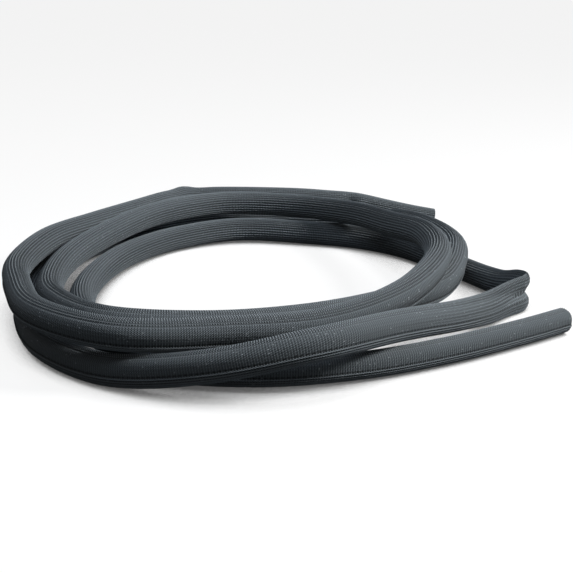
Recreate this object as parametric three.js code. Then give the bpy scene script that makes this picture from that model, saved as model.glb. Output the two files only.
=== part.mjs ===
// Split wire loom: one length of woven, self-closing sleeve, lying in a loose coil on a table.
// Millimetres, +Z up, the table at Z = 0, the origin under the middle of the coil.
// The sleeve is a single woven sheet. It curls into a tube and its free edge laps over its own tail,
// so the run is one open, hollow piece from cut end to cut end.
import * as THREE from "three";

// Woven sheet and the tube it closes into.
const BORE = 12.7;
const SHEET = 0.85;
const RIB_HEIGHT = 0.4;
const OUTER_R = BORE / 2 + SHEET + RIB_HEIGHT;

// Warp ribs: flutes that run the whole length, one ridge and one groove each.
const RIBS = 15;
const HALF_RIB_DEG = 180 / RIBS;

// The lap: the tail steps down under the free edge over STEP_DEG and tucks in for LAP_DEG.
const STEP_DEG = 36;
const LAP_DEG = 72;
const LAP_GAP = 0.45;
const TAIL_PITCH_DEG = 30;
const BORE_PITCH_DEG = 36;

// Where the free edge sits round the section: degrees below the outward side, and how it wanders.
const SEAM_DEG = 20;
const SEAM_WANDER_DEG = 14;
const SEAM_WANDER_LENGTH = 900;

// Bent round a coil the tube gives a little sideways and stands its full height.
const SIDE_SQUASH = 0.95;

// Both cut ends close up tighter than the rest: share of full girth, and the length that tightens.
const END_A_GIRTH = 0.85;
const END_A_TAPER = 230;
const END_B_GIRTH = 0.88;
const END_B_TAPER = 190;

// Stations along the run: this far apart on a straight, closer where it bends or is creased.
const STATION_PITCH = 37.5;
const BEND_SHARE = 6.5;
const BEND_LIMIT = 0.04;
const CREASE_REACH = 13;
const CREASE_SHARE = 5;
const CURVE_SAMPLES = 3000;

// Where the tube stands taller than round, or is pressed flatter by the turn that lies on it:
// place along the run, how far it fades before and after, and the share of height it gains.
const PRESSES = [
  { at: 2264, before: 47, after: 14, gain: 0.36 },
  { at: 2316, before: 26, after: 55, gain: -0.14 },
];

// What the tube loses in width for what it gains in height, and the other way about.
const NARROWING = 1.6;
const WIDENING = 1.0;

// Creases left by packing and by the fold. Each is a dent: place along the run, width along it,
// depth, the way it is pushed (degrees up from the outward side) and how far round it spreads.
const CREASES = [
  { at: 60, width: 4, depth: 2.6, facing: 160, spread: 45 },
  { at: 53, width: 4, depth: -0.6, facing: 160, spread: 40 },
  { at: 46, width: 5, depth: 0.9, facing: 175, spread: 35 },
  { at: 174, width: 7, depth: -1.1, facing: 78, spread: 34 },
  { at: 183, width: 7, depth: 1.3, facing: 125, spread: 36 },
  { at: 2264, width: 8, depth: 3.2, facing: 2, spread: 22 },
  { at: 2252, width: 9, depth: 1.6, facing: 14, spread: 20 },
  { at: 2240, width: 9, depth: 1.2, facing: 32, spread: 20 },
  { at: 2227, width: 10, depth: 0.9, facing: 56, spread: 20 },
  { at: 2264, width: 9, depth: 0.8, facing: 180, spread: 40 },
];

// The run of the sleeve's centre line, from the back end, B, to the front end, A.
const ROUTE = [
  [105, 150.5, 6.6], [89, 149, 9.8], [71, 147.5, 14], [57, 146, 17.5], [48, 145, 19.3],
  [33, 144, 20.6], [14, 143.5, 22], [-15, 143, 22.8], [-44, 144, 22.6], [-58, 143.5, 22],
  [-67, 140, 22.6], [-75, 131, 23], [-82, 120, 23.3], [-90, 106, 23.5], [-115, 66, 23.5],
  [-133, 23, 25], [-139, -24, 23.5], [-128, -69, 25], [-108, -112, 26.5], [-69, -135, 25.5],
  [-22, -127, 23.3], [22, -111, 22], [59, -83, 26.5], [81, -42, 32.5], [81, 4, 33],
  [66, 49, 28], [46, 91, 24.4], [9, 118, 23], [-37, 121, 24], [-75, 94, 24.5],
  [-99.5, 55, 23], [-118.5, 12, 18.6], [-120, -35, 17.5], [-107, -80, 21.5], [-77, -115, 24],
  [-32, -113, 21], [12, -96, 18.5], [50, -69, 16.5], [84, -36, 16.5], [98, 8, 23.3],
  [90, 54, 23.3], [74, 98, 17.8], [44, 129, 9], [21, 139, 7.3], [-1, 143, 7.3],
  [-48, 139, 7.3], [-88, 115, 7.3], [-118, 78, 7.3], [-132, 34, 7.3], [-136, -13, 7.3],
  [-127, -60, 7.3], [-108, -102, 7.3], [-73, -133, 8], [-29, -148, 15.8], [16, -144, 24],
  [53, -115, 22], [85, -81, 15], [107, -51, 9.2], [120, -38, 9.6], [129.5, -30, 10.2],
  [131, -25, 10.2], [128.5, -18.5, 10], [123, -6, 8], [116.7, 7.8, 6.9], [108, 24.2, 6.7],
  [92, 52, 6.8], [75, 76, 7.1], [51, 95, 7.3], [19, 106, 7.6], [-29, 113, 8.1],
  [-69, 92, 7.3], [-94, 54, 7.3], [-105, 8, 7.3], [-103, -42, 8], [-86, -85, 7.3],
  [-57, -122, 7.3], [-12, -133, 7.2], [34, -125, 6.6], [77, -105, 6.2], [118, -79.5, 6.2],
  [142.5, -62, 6.2],
];

const UP = new THREE.Vector3(0, 0, 1);
const run = new THREE.CatmullRomCurve3(
  ROUTE.map(([x, y, z]) => new THREE.Vector3(x, y, z)),
  false,
  "centripetal",
);
run.arcLengthDivisions = CURVE_SAMPLES;
const LENGTH = run.getLength();

const degrees = THREE.MathUtils.degToRad;
const smooth = THREE.MathUtils.smoothstep;

// A point of the flat section at an angle from the free edge, measured the way the sheet curls.
function polar(radius, angleDeg) {
  const angle = degrees(angleDeg);
  return new THREE.Vector2(radius * Math.cos(angle), -radius * Math.sin(angle));
}

// Outer radius of the curled sheet: level for most of a turn, then down under the free edge.
function sheetRadius(angleDeg) {
  const drop = smooth(angleDeg, 360 - STEP_DEG, 360) * (SHEET + LAP_GAP + RIB_HEIGHT);
  return OUTER_R - drop;
}

// The closed outline of the sheet: out round the ribs and the tucked tail, back along the bore.
function sheetOutline() {
  const outline = [];
  for (let a = 0, k = 0; a < 360 - STEP_DEG + 1; a += HALF_RIB_DEG, k += 1) {
    outline.push(polar(sheetRadius(a) - (k % 2) * RIB_HEIGHT, a));
  }
  for (let a = 360 - STEP_DEG / 2; a <= 360 + LAP_DEG; a += TAIL_PITCH_DEG) {
    outline.push(polar(sheetRadius(a), a));
  }
  const turns = Math.round((360 + LAP_DEG) / BORE_PITCH_DEG);
  for (let k = turns; k >= 0; k -= 1) {
    const a = ((360 + LAP_DEG) * k) / turns;
    outline.push(polar(sheetRadius(a) - SHEET - RIB_HEIGHT, a));
  }
  return new THREE.Shape(outline.reverse());
}

// Share of full girth at a distance along the run.
function girthAt(s) {
  const b = END_B_GIRTH + (1 - END_B_GIRTH) * smooth(s, 0, END_B_TAPER);
  const a = END_A_GIRTH + (1 - END_A_GIRTH) * smooth(LENGTH - s, END_A_TAPER / 2, END_A_TAPER);
  return Math.min(a, b);
}

// How much taller than round the tube stands at a distance along the run, as a share.
function heightGainAt(s) {
  return PRESSES.reduce((sum, { at, before, after, gain }) => {
    const away = (s - at) / (s < at ? before : after);
    return sum + gain * Math.exp(-away * away);
  }, 0);
}

// How far the wall is pushed in at a distance along the run and an angle round the section.
function dentAt(s, angleDeg) {
  return CREASES.reduce((sum, { at, width, depth, facing, spread }) => {
    const along = (s - at) / width;
    const turn = ((((angleDeg - facing + 180) % 360) + 360) % 360) - 180;
    return sum + depth * Math.exp(-along * along) * Math.exp(-((turn / spread) ** 2));
  }, 0);
}

// How closely stations are wanted at a distance along the run.
function stationWeight(s) {
  const here = run.getTangentAt(s / LENGTH);
  const next = run.getTangentAt(Math.min(1, (s + OUTER_R) / LENGTH));
  const bend = here.angleTo(next) / OUTER_R;
  const creased = CREASES.some((c) => Math.abs(c.at - s) < CREASE_REACH);
  return 1 + BEND_SHARE * OUTER_R * Math.min(bend, BEND_LIMIT) + (creased ? CREASE_SHARE : 0);
}

// Distances along the run of every station, end to end.
function stations() {
  const grain = LENGTH / CURVE_SAMPLES;
  const grown = [0];
  for (let k = 0; k < CURVE_SAMPLES; k += 1) {
    grown.push(grown[k] + stationWeight(k * grain) * grain);
  }
  const total = grown[CURVE_SAMPLES];
  const count = Math.round(total / STATION_PITCH);
  const places = [];
  for (let n = 0, k = 0; n < count; n += 1) {
    while (grown[k + 1] < (total * n) / count) k += 1;
    places.push(k * grain);
  }
  return [...places, LENGTH];
}

// Frame and form of the sleeve at one station.
function station(s) {
  const u = Math.min(1, s / LENGTH);
  const ahead = run.getTangentAt(u);
  const outward = new THREE.Vector3().crossVectors(ahead, UP).normalize();
  const lift = new THREE.Vector3().crossVectors(outward, ahead);
  const seam = -SEAM_DEG + SEAM_WANDER_DEG * Math.sin((2 * Math.PI * s) / SEAM_WANDER_LENGTH);
  const gain = heightGainAt(s);
  const tall = girthAt(s) * (1 + gain);
  const wide = girthAt(s) * (1 - gain * (gain > 0 ? NARROWING : WIDENING)) * SIDE_SQUASH;
  return { s, centre: run.getPointAt(u), outward, lift, seam: degrees(seam), tall, wide };
}

// Carries a point of the flat section to its place at a station.
function lay(point, { s, centre, outward, lift, seam, tall, wide }) {
  const angle = Math.atan2(point.y, point.x) + seam;
  const dent = dentAt(s, THREE.MathUtils.radToDeg(angle));
  const side = (Math.hypot(point.x, point.y) * wide - dent) * Math.cos(angle);
  const rise = (Math.hypot(point.x, point.y) * tall - dent) * Math.sin(angle);
  const placed = centre.clone().addScaledVector(outward, side).addScaledVector(lift, rise);
  placed.z = Math.max(placed.z, 0); // what rests on the table is pressed flat
  return placed;
}

// The sheet drawn straight from the front end, one step per station, then laid along the run.
function sleeveGeometry() {
  const places = stations();
  const steps = places.length - 1;
  const geometry = new THREE.ExtrudeGeometry(sheetOutline(), {
    depth: steps,
    steps,
    bevelEnabled: false,
  });
  const frames = places.map(station);
  const position = geometry.getAttribute("position");
  for (let i = 0; i < position.count; i += 1) {
    const flat = new THREE.Vector2(position.getX(i), position.getY(i));
    const placed = lay(flat, frames[steps - Math.round(position.getZ(i))]);
    position.setXYZ(i, placed.x, placed.y, placed.z);
  }
  geometry.computeVertexNormals();
  return geometry;
}

// Slate-grey polyester weave: a dull cloth with no shine of its own.
function wovenPolyester() {
  return new THREE.MeshStandardMaterial({ color: 0x454d52, roughness: 0.85, metalness: 0 });
}

const sleeve = new THREE.Mesh(sleeveGeometry(), wovenPolyester());
sleeve.name = "split_sleeve";

const group = new THREE.Group();
group.name = "split_wire_loom";
group.add(sleeve);

export default group;
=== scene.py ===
"""Looks of the split wire loom: one length of woven split sleeve lying in a loose coil."""

import logging
import math
from dataclasses import dataclass, field
from enum import Enum
from typing import Any, Iterable, Sequence

import bpy
import numpy as np
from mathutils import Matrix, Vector


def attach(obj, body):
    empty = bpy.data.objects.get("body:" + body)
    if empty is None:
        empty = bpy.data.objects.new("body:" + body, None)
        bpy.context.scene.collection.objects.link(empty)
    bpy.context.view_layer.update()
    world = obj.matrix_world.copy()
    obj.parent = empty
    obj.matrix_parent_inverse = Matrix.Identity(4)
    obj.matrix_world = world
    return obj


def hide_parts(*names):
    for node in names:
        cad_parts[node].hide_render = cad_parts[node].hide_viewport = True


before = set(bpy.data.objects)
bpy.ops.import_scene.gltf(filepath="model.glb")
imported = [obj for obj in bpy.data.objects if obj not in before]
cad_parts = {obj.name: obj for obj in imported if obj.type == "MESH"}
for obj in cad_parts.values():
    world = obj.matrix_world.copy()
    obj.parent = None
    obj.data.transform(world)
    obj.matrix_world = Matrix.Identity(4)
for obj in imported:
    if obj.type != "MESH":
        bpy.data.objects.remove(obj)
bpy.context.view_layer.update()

LOG = logging.getLogger("split_wire_loom")
MM = 0.001
CLOTH_UV = "cloth_mm"
GROOVE = "groove"
LAP = "lap"
PLAIN = "plain"


class Stiffness(Enum):
    """How far the sleeve keeps its own shape."""

    MEDIUM = "medium"


class FarEnd(Enum):
    """What is on the end of the run that is furthest from its start."""

    CUT = "bare"


class Role(Enum):
    """What a lamp does for the picture."""

    KEY = "key_lamp"
    TOP = "top_lamp"
    LEFT = "left_lamp"
    FRONT = "front_lamp"
    INNER = "inner_lamp"


def srgb(colour: str) -> tuple[float, float, float, float]:
    """Turns an sRGB hex colour into the linear colour that the renderer works in.

    Args:
        colour: six hex digits with a leading #.

    Returns:
        Linear red, green and blue, and an alpha of one.
    """
    parts = [int(colour[k : k + 2], 16) / 255 for k in (1, 3, 5)]
    linear = [c / 12.92 if c <= 0.04045 else ((c + 0.055) / 1.055) ** 2.4 for c in parts]
    return (linear[0], linear[1], linear[2], 1.0)


def add_node(
    tree: bpy.types.NodeTree,
    kind: str,
    settings: dict[str, Any] | None = None,
    inputs: dict[Any, Any] | None = None,
) -> bpy.types.Node:
    """Adds one node with its settings, its input values and its links.

    Args:
        tree: the tree that takes the node.
        kind: the node's type name.
        settings: properties of the node.
        inputs: sockets by name or number, each a value or the output socket that feeds it.

    Returns:
        The new node.
    """
    node = tree.nodes.new(kind)
    for name, value in (settings or {}).items():
        setattr(node, name, value)
    for key, value in (inputs or {}).items():
        if isinstance(value, bpy.types.NodeSocket):
            tree.links.new(value, node.inputs[key])
        else:
            node.inputs[key].default_value = value
    return node


def maths(tree: bpy.types.NodeTree, operation: str, *values: Any) -> bpy.types.NodeSocket:
    """Adds one sum on numbers or sockets.

    Args:
        tree: the tree that takes the node.
        operation: the sum's type name.
        values: its terms, each a number or an output socket.

    Returns:
        The socket with the result.
    """
    node = add_node(tree, "ShaderNodeMath", {"operation": operation}, dict(enumerate(values)))
    return node.outputs[0]


def smooth(values: np.ndarray, low: float, high: float) -> np.ndarray:
    """Rises smoothly from 0 at low to 1 at high.

    Args:
        values: where to look.
        low: the value up to which the result is 0.
        high: the value from which the result is 1.

    Returns:
        The share at each value.
    """
    share = np.clip((values - low) / (high - low), 0.0, 1.0)
    return share * share * (3.0 - 2.0 * share)


@dataclass(frozen=True)
class Crease:
    """A dent left by packing, or a bulge beside it where the depth is negative.

    Lengths are in millimetres. Facing and spread are in degrees, up from the outward side.
    """

    at: float
    width: float
    depth: float
    facing: float
    spread: float

    def push(self, along: np.ndarray, angle: np.ndarray) -> np.ndarray:
        """Gives how far the wall is pushed in.

        Args:
            along: distances along the run, one row each.
            angle: angles up from the outward side, one for each point of each row.

        Returns:
            The depth at each point.
        """
        reach = (along[:, None] - self.at) / self.width
        turn = (angle - self.facing + 180.0) % 360.0 - 180.0
        return self.depth * np.exp(-(reach**2)) * np.exp(-((turn / self.spread) ** 2))


@dataclass(frozen=True)
class Press:
    """A length where the tube stands taller than round, or is pressed flatter, in millimetres."""

    at: float
    before: float
    after: float
    gain: float

    def height_gain(self, along: np.ndarray) -> np.ndarray:
        """Gives the share of height gained.

        Args:
            along: distances along the run.

        Returns:
            The share at each distance, negative where the tube is pressed flatter.
        """
        reach = (along - self.at) / np.where(along < self.at, self.before, self.after)
        return self.gain * np.exp(-(reach**2))


@dataclass(frozen=True)
class Run:
    """The sleeve's centre line, from the back end to the front end, in metres."""

    points: tuple[tuple[float, float, float], ...]
    per_span: int = 80

    def samples(self) -> np.ndarray:
        """Draws the centripetal curve through the points.

        Returns:
            Closely spaced points of the curve, in millimetres.
        """
        points = np.array(self.points) / MM
        knots = np.vstack([2 * points[0] - points[1], points, 2 * points[-1] - points[-2]])
        share = np.linspace(0.0, 1.0, self.per_span, endpoint=False)[:, None]
        spans = []
        for p0, p1, p2, p3 in zip(knots[:-3], knots[1:-2], knots[2:-1], knots[3:]):
            pairs = ((p0, p1), (p1, p2), (p2, p3))
            d0, d1, d2 = (math.sqrt(np.linalg.norm(q - p)) for p, q in pairs)
            enter = ((p1 - p0) / d0 - (p2 - p0) / (d0 + d1) + (p2 - p1) / d1) * d1
            leave = ((p2 - p1) / d1 - (p3 - p1) / (d1 + d2) + (p3 - p2) / d2) * d1
            spans.append(
                p1 * (2 * share**3 - 3 * share**2 + 1)
                + enter * (share**3 - 2 * share**2 + share)
                + p2 * (3 * share**2 - 2 * share**3)
                + leave * (share**3 - share**2)
            )
        return np.vstack([*spans, points[-1:]])


@dataclass
class SplitSleeve:
    """The woven sheet, curled into a tube whose free edge laps over its own tail.

    Sizes are in millimetres and degrees. The sheet's angle runs from the free edge, at 0, round
    the tube, down the step and under the free edge again.

    The ribs number 29 round the tube. Their grooves are cut groove_depth deep, and groove_spread
    is how much of a rib's pitch a groove takes. Beside the free edge, for plain_deg, the cloth is
    pulled plain, except at the fold, where the ribs stand up again.
    """

    run: Run
    creases: tuple[Crease, ...]
    presses: tuple[Press, ...]
    outer_radius: float = 7.6
    sheet: float = 0.7
    ribs: int = 29
    rib_steps: tuple[float, ...] = (0.0, 0.24, 0.5, 0.76)
    groove_depth: float = 0.8
    groove_spread: float = 0.36
    rib_variation: float = 0.06
    groove_drift: float = 0.1
    groove_drift_length: float = 410.0
    step_deg: float = 50.0
    step_drop: float = 0.8
    plain_deg: float = 62.0
    plain_fade_deg: float = 18.0
    plain_most: float = 0.85
    fold_at: float = 2250.0
    fold_reach: float = 75.0
    lap_deg: float = 72.0
    tail_points: int = 5
    bore_points: int = 20
    selvedge_rise: float = 0.1
    selvedge_reach_deg: float = 9.0
    hem_deg: tuple[float, float] = (345.0, 352.0)
    shadow_deg: tuple[float, float] = (349.0, 358.0)
    seam_deg: float = 20.0
    seam_wander_deg: float = 14.0
    seam_wander_length: float = 900.0
    side_squash: float = 0.95
    end_a_girth: float = 0.85
    end_a_taper: float = 230.0
    end_b_girth: float = 0.88
    end_b_taper: float = 190.0
    narrowing: float = 1.6
    widening: float = 1.0
    stations: int = 690
    bend_weight: float = 45.0
    bend_limit: float = 0.09
    crease_weight: float = 2.4
    crease_reach: float = 16.0
    sharp_deg: float = 70.0
    name: str = "woven_sleeve"
    length: float = field(default=0.0, init=False)
    centre_line: np.ndarray | None = field(default=None, init=False)

    def place_stations(self) -> tuple[np.ndarray, np.ndarray, np.ndarray]:
        """Spaces the stations along the run, closer where it bends or is creased.

        Returns:
            Distance along the run, centre and direction at each station.
        """
        line = self.run.samples()
        steps = np.linalg.norm(np.diff(line, axis=0), axis=1)
        along = np.concatenate([[0.0], np.cumsum(steps)])
        self.length = float(along[-1])
        ahead = np.gradient(line, along, axis=0)
        ahead /= np.linalg.norm(ahead, axis=1)[:, None]
        bend = np.linalg.norm(np.gradient(ahead, along, axis=0), axis=1)
        want = 1.0 + self.bend_weight * np.minimum(bend, self.bend_limit)
        for crease in self.creases:
            away = (along - crease.at) / self.crease_reach
            want += self.crease_weight * np.exp(-(away**2))
        grown = np.concatenate([[0.0], np.cumsum(0.5 * (want[1:] + want[:-1]) * steps)])
        marks = np.interp(np.linspace(0.0, grown[-1], self.stations), grown, along)
        centre = np.stack([np.interp(marks, along, line[:, k]) for k in range(3)], axis=1)
        facing = np.stack([np.interp(marks, along, ahead[:, k]) for k in range(3)], axis=1)
        facing /= np.linalg.norm(facing, axis=1)[:, None]
        return marks, centre, facing

    def outer_angles(self) -> np.ndarray:
        """Lists the sheet angles of the outer face: four to a rib, then the tail.

        Returns:
            Angles in degrees, rising from the free edge.
        """
        pitch = 360.0 / self.ribs
        ribbed = [(k + np.array(self.rib_steps)) * pitch for k in range(self.ribs)]
        tail = np.linspace(360.0, 360.0 + self.lap_deg, self.tail_points)
        return np.concatenate([*ribbed, tail])

    def bore_angles(self) -> np.ndarray:
        """Lists the sheet angles of the bore face, from the tail back to the free edge.

        Returns:
            Angles in degrees, falling.
        """
        return np.linspace(360.0 + self.lap_deg, 0.0, self.bore_points)

    def sheet_radius(self, angle: np.ndarray) -> np.ndarray:
        """Gives the outer radius of the curled sheet, before its ribs.

        Args:
            angle: sheet angles.

        Returns:
            The radius at each angle.
        """
        drop = smooth(angle, 360.0 - self.step_deg, 360.0) * self.step_drop
        edge = self.selvedge_rise * np.exp(-((angle / self.selvedge_reach_deg) ** 2))
        return self.outer_radius - drop + edge

    def groove_share(self, along: np.ndarray, angle: np.ndarray) -> np.ndarray:
        """Gives how open the groove between two ribs is at each point of the outer face.

        Args:
            along: distances along the run.
            angle: sheet angles of the outer face.

        Returns:
            From 0 on a rib's crown to 1 at the bottom of the deepest groove, a row a station.
        """
        pitch = 360.0 / self.ribs
        phase = (angle / pitch) % 1.0
        away = np.minimum(phase, 1.0 - phase)
        shape = np.exp(-((away / self.groove_spread) ** 2))
        # Each groove has its own depth, from a wave that doesn't keep step with the ribs.
        number = np.round(angle / pitch)
        uneven = np.sin(number * 2.4) * np.cos(number * 0.9 + 1.0)
        own = 1.0 - self.rib_variation + self.rib_variation * uneven
        # Every groove opens and closes a little along the run, in two waves round the tube.
        turns = along[:, None] / self.groove_drift_length
        wave = np.sin(2 * math.pi * turns + np.radians(angle) * 2.0 + 0.7)
        drift = 1.0 - self.groove_drift + self.groove_drift * wave
        hem = 1.0 - smooth(angle, *self.hem_deg)
        return shape * own * drift * hem * (1.0 - self.plain_share(along, angle))

    def plain_share(self, along: np.ndarray, angle: np.ndarray) -> np.ndarray:
        """Gives how far the cloth is stretched plain, without ribs, beside the free edge.

        Args:
            along: distances along the run.
            angle: sheet angles.

        Returns:
            From 0 where the ribs stand in full to 1 where they are pulled flat, a row a station.
        """
        start = 360.0 - self.plain_deg
        beside = smooth(angle, start - self.plain_fade_deg, start)
        ribbed = np.exp(-(((along - self.fold_at) / self.fold_reach) ** 2))
        share = self.plain_most * (1.0 - self.plain_most * ribbed)
        return share[:, None] * beside[None, :]

    def girth(self, along: np.ndarray) -> np.ndarray:
        """Gives the share of full girth: both cut ends close up tighter.

        Args:
            along: distances along the run.

        Returns:
            The share at each distance.
        """
        b = self.end_b_girth + (1 - self.end_b_girth) * smooth(along, 0.0, self.end_b_taper)
        a = self.end_a_girth + (1 - self.end_a_girth) * smooth(
            self.length - along, self.end_a_taper / 2, self.end_a_taper
        )
        return np.minimum(a, b)

    def lay(
        self,
        radius: np.ndarray,
        sheet_angle: np.ndarray,
        stations: tuple[np.ndarray, np.ndarray, np.ndarray],
    ) -> np.ndarray:
        """Carries points of the flat section to their places along the run.

        Args:
            radius: radius of each point at each station, in the flat section.
            sheet_angle: sheet angle of each point.
            stations: distance, centre and direction at each station.

        Returns:
            Places in millimetres, by station and point.
        """
        along, centre, ahead = stations
        up = np.array([0.0, 0.0, 1.0])
        outward = np.cross(ahead, up)
        outward /= np.linalg.norm(outward, axis=1)[:, None]
        lift = np.cross(outward, ahead)
        seam = -self.seam_deg + self.seam_wander_deg * np.sin(
            2 * math.pi * along / self.seam_wander_length
        )
        angle = seam[:, None] - sheet_angle[None, :]
        gain = sum(press.height_gain(along) for press in self.presses)
        girth = self.girth(along)
        tall = girth * (1 + gain)
        give = np.where(gain > 0, self.narrowing, self.widening)
        wide = girth * (1 - gain * give) * self.side_squash
        dent = sum(crease.push(along, angle) for crease in self.creases)
        side = (radius * wide[:, None] - dent) * np.cos(np.radians(angle))
        rise = (radius * tall[:, None] - dent) * np.sin(np.radians(angle))
        placed = centre[:, None, :] + side[:, :, None] * outward[:, None, :]
        placed = placed + rise[:, :, None] * lift[:, None, :]
        placed[:, :, 2] = np.maximum(placed[:, :, 2], 0.0)
        return placed

    def build(self) -> bpy.types.Object:
        """Makes the sleeve as one closed mesh with its cloth coordinates.

        Returns:
            The sleeve, in metres.
        """
        stations = self.place_stations()
        along = stations[0]
        outer, bore = self.outer_angles(), self.bore_angles()
        groove = self.groove_share(along, outer)
        outer_radius = self.sheet_radius(outer)[None, :] - self.groove_depth * groove
        bore_radius = np.broadcast_to(self.sheet_radius(bore) - self.sheet, (len(along), len(bore)))
        angles = np.concatenate([outer, bore])
        radius = np.concatenate([outer_radius, bore_radius], axis=1)
        placed = self.lay(radius, angles, stations) * MM
        rows, ring = placed.shape[:2]
        mesh = bpy.data.meshes.new(self.name)
        mesh.from_pydata(placed.reshape(-1, 3), [], self.faces(rows, ring))
        self.write_cloth(mesh, along, angles, groove, ring)
        mesh.shade_smooth()
        mesh.set_sharp_from_angle(angle=math.radians(self.sharp_deg))
        mesh.validate()
        piece = bpy.data.objects.new(self.name, mesh)
        bpy.context.scene.collection.objects.link(piece)
        self.centre_line = stations[1] * MM
        return piece

    def faces(self, rows: int, ring: int) -> list[tuple[int, ...]]:
        """Joins the rings to each other and closes both cut ends.

        Args:
            rows: how many stations there are.
            ring: how many points each station has.

        Returns:
            Corner numbers of each face.
        """
        nxt = (np.arange(ring) + 1) % ring
        here = np.arange(ring)
        faces = []
        for k in range(rows - 1):
            low, high = k * ring, (k + 1) * ring
            faces.extend(zip(low + here, high + here, high + nxt, low + nxt))
        return [tuple(int(i) for i in face) for face in faces] + self.end_faces(rows, ring)

    def end_faces(self, rows: int, ring: int) -> list[tuple[int, ...]]:
        """Closes the cut ends with strips between the outer face and the bore face.

        Args:
            rows: how many stations there are.
            ring: how many points each station has.

        Returns:
            Corner numbers of each face.
        """
        outer, bore = self.outer_angles(), self.bore_angles()
        count = len(outer)
        near = [ring - 1 - int(np.argmin(np.abs(bore[::-1] - a))) for a in outer]
        faces = []
        for base, flip in ((0, False), ((rows - 1) * ring, True)):
            for k in range(count - 1):
                corners = [base + k, base + k + 1]
                corners += [base + j for j in range(near[k + 1], near[k] + 1)]
                faces.append(tuple(corners) if flip else tuple(reversed(corners)))
        return faces

    def write_cloth(
        self,
        mesh: bpy.types.Mesh,
        along: np.ndarray,
        angles: np.ndarray,
        groove: np.ndarray,
        ring: int,
    ) -> None:
        """Writes the cloth's own coordinates and its groove, lap and plain shares on the mesh.

        Args:
            mesh: the sleeve's mesh.
            along: distances along the run.
            angles: sheet angle of each point of a ring.
            groove: groove share of the outer points.
            ring: how many points each station has.
        """
        corner = np.zeros(len(mesh.loops), np.int32)
        mesh.loops.foreach_get("vertex_index", corner)
        round_mm = np.radians(angles) * self.outer_radius
        uv = np.stack([round_mm[corner % ring], along[corner // ring]], axis=1)
        layer = mesh.uv_layers.new(name=CLOTH_UV)
        layer.data.foreach_set("uv", uv.astype(np.float32).ravel())
        count = groove.shape[1]
        # The lap share is painted shadow: under the free edge on the outer face, and full on the
        # whole bore face.
        lap = np.ones((len(along), ring), np.float32)
        lap[:, :count] = smooth(angles[:count], *self.shadow_deg)[None, :]
        self.write_share(mesh, LAP, lap)
        # The groove share also gives the painted shade in the grooves.
        for name, outer in ((GROOVE, groove), (PLAIN, self.plain_share(along, angles[:count]))):
            share = np.zeros((len(along), ring), np.float32)
            share[:, :count] = outer
            self.write_share(mesh, name, share)

    def write_share(self, mesh: bpy.types.Mesh, name: str, share: np.ndarray) -> None:
        """Writes one number for each point of the mesh, for the material to read.

        Args:
            mesh: the sleeve's mesh.
            name: name of the attribute.
            share: the numbers, a row a station.
        """
        layer = mesh.attributes.new(name, "FLOAT", "POINT")
        layer.data.foreach_set("value", share.ravel())


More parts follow.
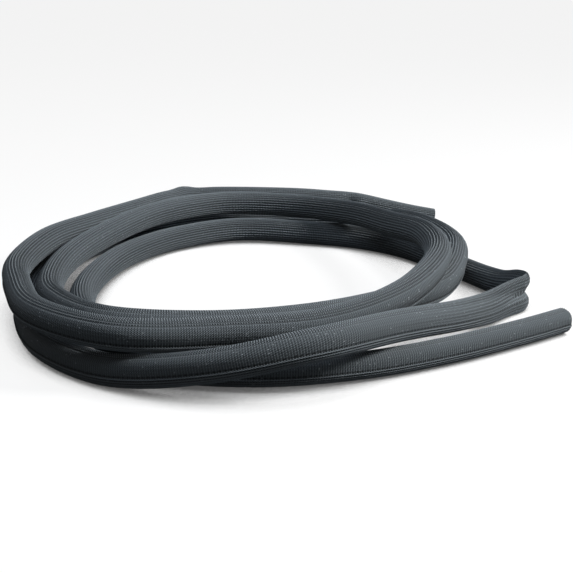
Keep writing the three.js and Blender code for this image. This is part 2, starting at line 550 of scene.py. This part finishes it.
@dataclass(frozen=True)
class WovenPolyester:
    """Slate-grey polyester cloth, woven flat and heat-set into a curl.

    Dull spun warp gives the long soft ribs. The cross threads are single filaments: they show as
    a fine grid, and here and there one stands proud, smoother and with a painted highlight, which
    gives the cloth its small sparkles.

    The shades say how far each part of the cloth goes to a dark colour: painted shade in the groove
    between two ribs, painted shadow under the free edge and over the bore, and the plain cloth beside
    the free edge, which is drawn darker. The cross threads lie about a quarter further apart than
    in the photograph, so that the grid still shows in a small picture.
    """

    yarn: str = "#868e93"
    gap: str = "#1e2326"
    # deep is the colour of painted shade: in the grooves, under the free edge and in the bore.
    deep: str = "#07090a"
    # The next colour is a painted highlight on a few filaments.
    painted_highlight: str = "#c4ccd1"
    weft_pitch_mm: float = 1.15
    warp_pitch_mm: float = 0.823
    weft_share: float = 0.35
    crossing_share: float = 0.65
    crown_level: float = 0.45
    weave_contrast: float = 0.8
    groove_painted_shade: float = 0.97
    lap_painted_shade: float = 0.85
    plain_shade: float = 0.62
    lap_stitch_mm: float = 2.35
    stitch_depth: float = 0.3
    spark_share: float = 0.02
    spark_reach_squared: float = 0.07
    # How far those filaments are lightened: a painted highlight.
    painted_highlight_strength: float = 0.5
    spark_gloss: float = 0.3
    spark_height: float = 0.3
    roughness: float = 0.62
    specular: float = 0.12
    sheen: float = 0.04
    sheen_roughness: float = 0.5
    bump_strength: float = 0.8
    bump_height_m: float = 0.00025
    name: str = "woven_polyester"

    def build(self) -> bpy.types.Material:
        """Makes the cloth.

        Returns:
            The material.
        """
        material = bpy.data.materials.new(self.name)
        material.use_nodes = True
        tree = material.node_tree
        shader = tree.nodes["Principled BSDF"]
        shader.inputs["Sheen Weight"].default_value = self.sheen
        shader.inputs["Sheen Roughness"].default_value = self.sheen_roughness
        shader.inputs["Specular IOR Level"].default_value = self.specular
        cloth = add_node(tree, "ShaderNodeUVMap", {"uv_map": CLOTH_UV}).outputs["UV"]
        axes = add_node(tree, "ShaderNodeSeparateXYZ", inputs={0: cloth})
        round_mm, along_mm = axes.outputs["X"], axes.outputs["Y"]
        weave = self.weave(tree, round_mm, along_mm)
        spark = self.sparks(tree, round_mm, along_mm)
        groove = self.share(tree, GROOVE)
        lap = self.stitched(tree, self.share(tree, LAP), along_mm)
        plain = self.share(tree, PLAIN)
        colour = self.colour(tree, weave, spark, groove, lap, plain)
        tree.links.new(colour, shader.inputs["Base Color"])
        rough = maths(tree, "MULTIPLY_ADD", spark, -self.spark_gloss, self.roughness)
        tree.links.new(rough, shader.inputs["Roughness"])
        proud = maths(tree, "MULTIPLY", spark, self.spark_height)
        relief = {
            "Strength": self.bump_strength,
            "Distance": self.bump_height_m,
            "Height": maths(tree, "ADD", weave, proud),
        }
        bump = add_node(tree, "ShaderNodeBump", inputs=relief)
        tree.links.new(bump.outputs["Normal"], shader.inputs["Normal"])
        return material

    def share(self, tree: bpy.types.NodeTree, name: str) -> bpy.types.NodeSocket:
        """Reads one of the shares that the sleeve writes on its mesh.

        Args:
            tree: the material's tree.
            name: name of the attribute.

        Returns:
            The socket with the share.
        """
        return add_node(tree, "ShaderNodeAttribute", {"attribute_name": name}).outputs["Fac"]

    def weave(
        self, tree: bpy.types.NodeTree, round_mm: bpy.types.NodeSocket, along_mm: bpy.types.NodeSocket
    ) -> bpy.types.NodeSocket:
        """Draws the crossing threads.

        Args:
            tree: the material's tree.
            round_mm: distance round the tube.
            along_mm: distance along the run.

        Returns:
            The threads' height, low in the gaps and high on the crowns.
        """
        turn = 2 * math.pi
        weft = maths(tree, "SINE", maths(tree, "MULTIPLY", along_mm, turn / self.weft_pitch_mm))
        warp = maths(tree, "SINE", maths(tree, "MULTIPLY", round_mm, turn / self.warp_pitch_mm))
        crossed = maths(tree, "MULTIPLY", weft, warp)
        crossings = maths(tree, "MULTIPLY", crossed, self.crossing_share)
        banded = maths(tree, "MULTIPLY_ADD", weft, self.weft_share, crossings)
        return maths(tree, "ADD", banded, self.crown_level)

    def sparks(
        self, tree: bpy.types.NodeTree, round_mm: bpy.types.NodeSocket, along_mm: bpy.types.NodeSocket
    ) -> bpy.types.NodeSocket:
        """Picks the few crossings where a bare filament stands proud.

        Args:
            tree: the material's tree.
            round_mm: distance round the tube.
            along_mm: distance along the run.

        Returns:
            1 in a small dot on those crossings and 0 elsewhere.
        """
        across = maths(tree, "DIVIDE", round_mm, self.warp_pitch_mm)
        down = maths(tree, "DIVIDE", along_mm, self.weft_pitch_mm)
        corner = [maths(tree, "FLOOR", across), maths(tree, "FLOOR", down)]
        cell = add_node(tree, "ShaderNodeCombineXYZ", inputs=dict(enumerate(corner))).outputs[0]
        flat = {"noise_dimensions": "2D"}
        noise = add_node(tree, "ShaderNodeTexWhiteNoise", flat, {"Vector": cell})
        picked = maths(tree, "GREATER_THAN", noise.outputs["Value"], 1.0 - self.spark_share)
        from_middle = [
            maths(tree, "POWER", maths(tree, "SUBTRACT", maths(tree, "FRACT", place), 0.5), 2.0)
            for place in (across, down)
        ]
        dot = maths(tree, "LESS_THAN", maths(tree, "ADD", *from_middle), self.spark_reach_squared)
        return maths(tree, "MULTIPLY", picked, dot)

    def stitched(
        self, tree: bpy.types.NodeTree, lap: bpy.types.NodeSocket, along_mm: bpy.types.NodeSocket
    ) -> bpy.types.NodeSocket:
        """Breaks the shadow under the free edge into the dots of the edge's bound threads.

        Args:
            tree: the material's tree.
            lap: share of the shadow.
            along_mm: distance along the run.

        Returns:
            The share of the dotted shadow.
        """
        turns = maths(tree, "MULTIPLY", along_mm, 2 * math.pi / self.lap_stitch_mm)
        wave = maths(tree, "SINE", turns)
        dots = maths(tree, "MULTIPLY_ADD", wave, self.stitch_depth, 1.0 - self.stitch_depth)
        return maths(tree, "MULTIPLY", lap, dots)

    def colour(
        self,
        tree: bpy.types.NodeTree,
        weave: bpy.types.NodeSocket,
        spark: bpy.types.NodeSocket,
        groove: bpy.types.NodeSocket,
        lap: bpy.types.NodeSocket,
        plain: bpy.types.NodeSocket,
    ) -> bpy.types.NodeSocket:
        """Colours the yarn and its gaps, paints shade in the grooves and highlights on a few
        filaments.

        Args:
            tree: the material's tree.
            weave: the threads' height.
            spark: 1 on a filament with a painted highlight.
            groove: share of the painted shade in the groove between two ribs.
            lap: share of the painted shadow under the free edge and over the bore.
            plain: share of the plain cloth beside the free edge.

        Returns:
            The socket with the cloth's colour.
        """
        contrast = self.weave_contrast
        crown = maths(tree, "MULTIPLY_ADD", weave, contrast, 1.0 - contrast)
        woven = self.mix(tree, crown, self.gap, self.yarn)
        # The plain cloth beside the free edge is drawn darker, towards the gap colour.
        cloth = self.mix(tree, maths(tree, "MULTIPLY", plain, self.plain_shade), woven, self.gap)
        # Painted highlight: a few filaments go towards a pale colour.
        painted_highlight_share = maths(tree, "MULTIPLY", spark, self.painted_highlight_strength)
        bright = self.mix(tree, painted_highlight_share, cloth, self.painted_highlight)
        # Painted shade: the grooves go towards the deep colour.
        shade_in_grooves = maths(tree, "MULTIPLY", groove, self.groove_painted_shade)
        with_shade_in_grooves = self.mix(tree, shade_in_grooves, bright, self.deep)
        # Painted shadow: under the free edge and over the bore, towards the deep colour.
        return self.mix(tree, maths(tree, "MULTIPLY", lap, self.lap_painted_shade), with_shade_in_grooves, self.deep)

    def mix(self, tree: bpy.types.NodeTree, share: Any, low: Any, high: Any) -> bpy.types.NodeSocket:
        """Mixes two colours, each a hex colour or a socket.

        Args:
            tree: the material's tree.
            share: socket with the share of the second colour.
            low: the first colour.
            high: the second colour.

        Returns:
            The socket with the mixed colour.
        """
        first, second = (srgb(c) if isinstance(c, str) else c for c in (low, high))
        # Sockets 6 and 7 take the colours and output 2 gives the colour: the others are for numbers.
        inputs = {0: share, 6: first, 7: second}
        return add_node(tree, "ShaderNodeMix", {"data_type": "RGBA"}, inputs).outputs[2]


@dataclass(frozen=True)
class StudioFloor:
    """A plain white table that runs out of sight behind the coil.

    It is matt white paper: it gives the eye a clean white ground with only a faint shadow, and
    has painted shade in the narrow recesses between the turns, within crevice metres of the cloth.
    """

    half_width: float = 6.0
    drop: float = 0.0002
    bounce: str = "#54585b"
    shown: str = "#ffffff"
    shadow_share: float = 0.12
    crevice: float = 0.028
    crevice_samples: int = 4
    open_range: tuple[float, float] = (0.24, 0.46)
    glow_range: tuple[float, float] = (0.08, 1.0)
    name: str = "studio_floor"

    def build(self) -> bpy.types.Object:
        """Lays the floor: white to the camera, a mid grey to the light that it sends back.

        Returns:
            The floor.
        """
        w = self.half_width
        mesh = bpy.data.meshes.new(self.name)
        mesh.from_pydata([(-w, -w, 0), (w, -w, 0), (w, w, 0), (-w, w, 0)], [], [(0, 1, 2, 3)])
        floor = bpy.data.objects.new(self.name, mesh)
        bpy.context.scene.collection.objects.link(floor)
        floor.location.z = -self.drop
        material = bpy.data.materials.new("matt_white_paper")
        material.use_nodes = True
        tree = material.node_tree
        tree.nodes.clear()
        path = add_node(tree, "ShaderNodeLightPath").outputs["Is Camera Ray"]
        lit = add_node(tree, "ShaderNodeBsdfDiffuse", inputs={"Color": srgb(self.shown)}).outputs[0]
        # Painted shade: the white glow dims in the narrow recesses near the cloth.
        recess = add_node(
            tree,
            "ShaderNodeAmbientOcclusion",
            {"samples": self.crevice_samples},
            {"Distance": self.crevice},
        )
        share = dict(enumerate([recess.outputs["AO"], *self.open_range, *self.glow_range]))
        glow = add_node(tree, "ShaderNodeMapRange", inputs=share).outputs[0]
        paper = {"Color": srgb(self.shown), "Strength": glow}
        white = add_node(tree, "ShaderNodeEmission", inputs=paper).outputs[0]
        shadow = {0: self.shadow_share, 1: white, 2: lit}
        seen = add_node(tree, "ShaderNodeMixShader", inputs=shadow).outputs[0]
        grey = {"Color": srgb(self.bounce)}
        sent = add_node(tree, "ShaderNodeBsdfDiffuse", inputs=grey).outputs[0]
        both = add_node(tree, "ShaderNodeMixShader", inputs={0: path, 1: sent, 2: seen}).outputs[0]
        add_node(tree, "ShaderNodeOutputMaterial", inputs={"Surface": both})
        mesh.materials.append(material)
        return floor


@dataclass(frozen=True)
class SoftLamp:
    """A square lamp behind white cloth, aimed at the coil. Lengths in metres, power in watts."""

    role: Role
    place: tuple[float, float, float]
    side: float
    power: float
    target: tuple[float, float, float] = (0.0, 0.0, 0.02)
    colour: str = "#ffffff"

    def build(self) -> bpy.types.Object:
        """Hangs the lamp and turns it to its target.

        Returns:
            The lamp.
        """
        data = bpy.data.lights.new(self.role.value, "AREA")
        data.shape = "SQUARE"
        data.size = self.side
        data.energy = self.power
        data.color = srgb(self.colour)[:3]
        lamp = bpy.data.objects.new(self.role.value, data)
        lamp.location = self.place
        aim = Vector(self.target) - Vector(self.place)
        lamp.rotation_euler = aim.to_track_quat("-Z", "Y").to_euler()
        bpy.context.scene.collection.objects.link(lamp)
        return lamp


@dataclass(frozen=True)
class StudioAir:
    """The light that comes from all round: white to the camera, dim on the object."""

    glow: str = "#ffffff"
    strength: float = 0.12

    def build(self) -> None:
        """Sets the world and the plain view transform."""
        scene = bpy.context.scene
        world = bpy.data.worlds.new("studio_air")
        scene.world = world
        world.use_nodes = True
        tree = world.node_tree
        tree.nodes.clear()
        path = add_node(tree, "ShaderNodeLightPath").outputs["Is Camera Ray"]
        glow = srgb(self.glow)
        dim, white = (
            add_node(tree, "ShaderNodeBackground", inputs={0: glow, 1: strength}).outputs[0]
            for strength in (self.strength, 1.0)
        )
        both = add_node(tree, "ShaderNodeMixShader", inputs={0: path, 1: dim, 2: white}).outputs[0]
        add_node(tree, "ShaderNodeOutputWorld", inputs={"Surface": both})
        scene.view_settings.view_transform = "Standard"


@dataclass(frozen=True)
class PhotoCamera:
    """The camera at the photograph's place and angle, in metres, with its lens in millimetres."""

    place: tuple[float, float, float] = (0.0035, -0.5601, 0.1816)
    pitch_down_deg: float = 17.571
    lens: float = 65.97
    sensor: float = 36.0
    nearest: float = 0.01

    def build(self) -> bpy.types.Object:
        """Makes the camera and gives it to the scene.

        Returns:
            The camera.
        """
        data = bpy.data.cameras.new("photo_camera")
        data.sensor_fit = "HORIZONTAL"
        data.sensor_width = self.sensor
        data.lens = self.lens
        data.clip_start = self.nearest
        camera = bpy.data.objects.new("photo_camera", data)
        camera.location = self.place
        camera.rotation_euler = (math.radians(90.0 - self.pitch_down_deg), 0.0, 0.0)
        bpy.context.scene.collection.objects.link(camera)
        bpy.context.scene.camera = camera
        return camera


# The run's points, in millimetres, from the back end to the front end. They were traced from the
# photograph, fitted so that the turns clear each other, and then corrected.
ROUTE_MM = (
    (105, 150.5, 6.6), (89, 149, 9.8), (71, 147.5, 14), (57, 146, 17.5), (48, 145, 19.3),
    (33, 144, 20.6), (14, 143.5, 22), (-15, 143, 22.8), (-44, 144, 22.6), (-58, 143.5, 22),
    (-67, 140, 22.6), (-75, 131, 23), (-82, 120, 23.3), (-90, 106, 23.5), (-115, 66, 23.5),
    (-133, 23, 25), (-139, -24, 23.5), (-128, -69, 25), (-108, -112, 26.5), (-69, -135, 25.5),
    (-22, -127, 23.3), (22, -111, 22), (59, -83, 26.5), (81, -42, 32.5), (81, 4, 33),
    (66, 49, 28), (46, 91, 24.4), (9, 118, 23), (-37, 121, 24), (-75, 94, 24.5),
    (-99.5, 55, 23), (-118.5, 12, 18.6), (-120, -35, 17.5), (-107, -80, 21.5), (-77, -115, 24),
    (-32, -113, 21), (12, -96, 18.5), (50, -69, 16.5), (84, -36, 16.5), (98, 8, 23.3),
    (90, 54, 23.3), (74, 98, 17.8), (44, 129, 9), (21, 139, 7.3), (-1, 143, 7.3),
    (-48, 139, 7.3), (-88, 115, 7.3), (-118, 78, 7.3), (-132, 34, 7.3), (-136, -13, 7.3),
    (-127, -60, 7.3), (-108, -102, 7.3), (-73, -133, 8), (-29, -148, 15.8), (16, -144, 24),
    (53, -115, 22), (85, -81, 15), (107, -51, 9.2), (120, -38, 9.6), (129.5, -30, 10.2),
    (131, -25, 10.2), (128.5, -18.5, 10), (123, -6, 8), (116.7, 7.8, 6.9), (108, 24.2, 6.7),
    (92, 52, 6.8), (75, 76, 7.1), (51, 95, 7.3), (19, 106, 7.6), (-29, 113, 8.1),
    (-69, 92, 7.3), (-94, 54, 7.3), (-105, 8, 7.3), (-103, -42, 8), (-86, -85, 7.3),
    (-57, -122, 7.3), (-12, -133, 7.2), (34, -125, 6.6), (77, -105, 6.2), (118, -79.5, 6.2),
    (142.5, -62, 6.2),
)

# Back-end buckle, back-left peak, then the sharp fold at the right.
CREASES = (
    Crease(60, 4, 2.6, 160, 45),
    Crease(53, 4, -0.6, 160, 40),
    Crease(46, 5, 0.9, 175, 35),
    Crease(174, 7, -1.1, 78, 34),
    Crease(183, 7, 1.3, 125, 36),
    Crease(2264, 8, 3.2, 2, 22),
    Crease(2252, 9, 1.6, 14, 20),
    Crease(2240, 9, 1.2, 32, 20),
    Crease(2227, 10, 0.9, 56, 20),
    Crease(2264, 9, 0.8, 180, 40),
)

# The fold stands tall and narrow, and the run just after it is pressed flat.
PRESSES = (
    Press(2264, 47, 14, 0.36),
    Press(2316, 26, 55, -0.14),
)

# The strongest light falls from the right, and a faint one reaches the inside of the coil.
LAMPS = (
    SoftLamp(Role.KEY, (0.76, -0.16, 0.56), 0.22, 14.5),
    SoftLamp(Role.TOP, (-0.1, 0.3, 1.2), 0.8, 0.6),
    SoftLamp(Role.LEFT, (-1.1, 0.5, 0.6), 0.6, 1.0),
    SoftLamp(Role.FRONT, (0.3, -1.4, 0.7), 0.7, 1.4),
    SoftLamp(Role.INNER, (-0.05, -0.08, 0.42), 0.3, 0.9, (-0.02, 0.14, 0.01), "#dbe6f4"),
)


def metres(points: Iterable[Sequence[float]]) -> tuple[tuple[float, float, float], ...]:
    """Turns points in millimetres into metres.

    Args:
        points: places in millimetres.

    Returns:
        The same places in metres.
    """
    return tuple((x * MM, y * MM, z * MM) for x, y, z in points)


def main() -> None:
    """Builds the camera, the sleeve, the floor and the light, in that order."""
    logging.basicConfig(level=logging.INFO, format="%(name)s: %(message)s")
    PhotoCamera().build()
    sleeve = SplitSleeve(Run(metres(ROUTE_MM)), CREASES, PRESSES)
    piece = sleeve.build()
    piece.data.materials.append(WovenPolyester().build())
    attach(piece, "root")
    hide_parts("split_sleeve")
    LOG.info("%s: %d faces, %.1f mm", piece.name, len(piece.data.polygons), sleeve.length)
    StudioFloor().build()
    LOG.info("floor laid")
    for lamp in LAMPS:
        LOG.info("%s hung", lamp.build().name)
    StudioAir().build()


if __name__ == "__main__":
    main()
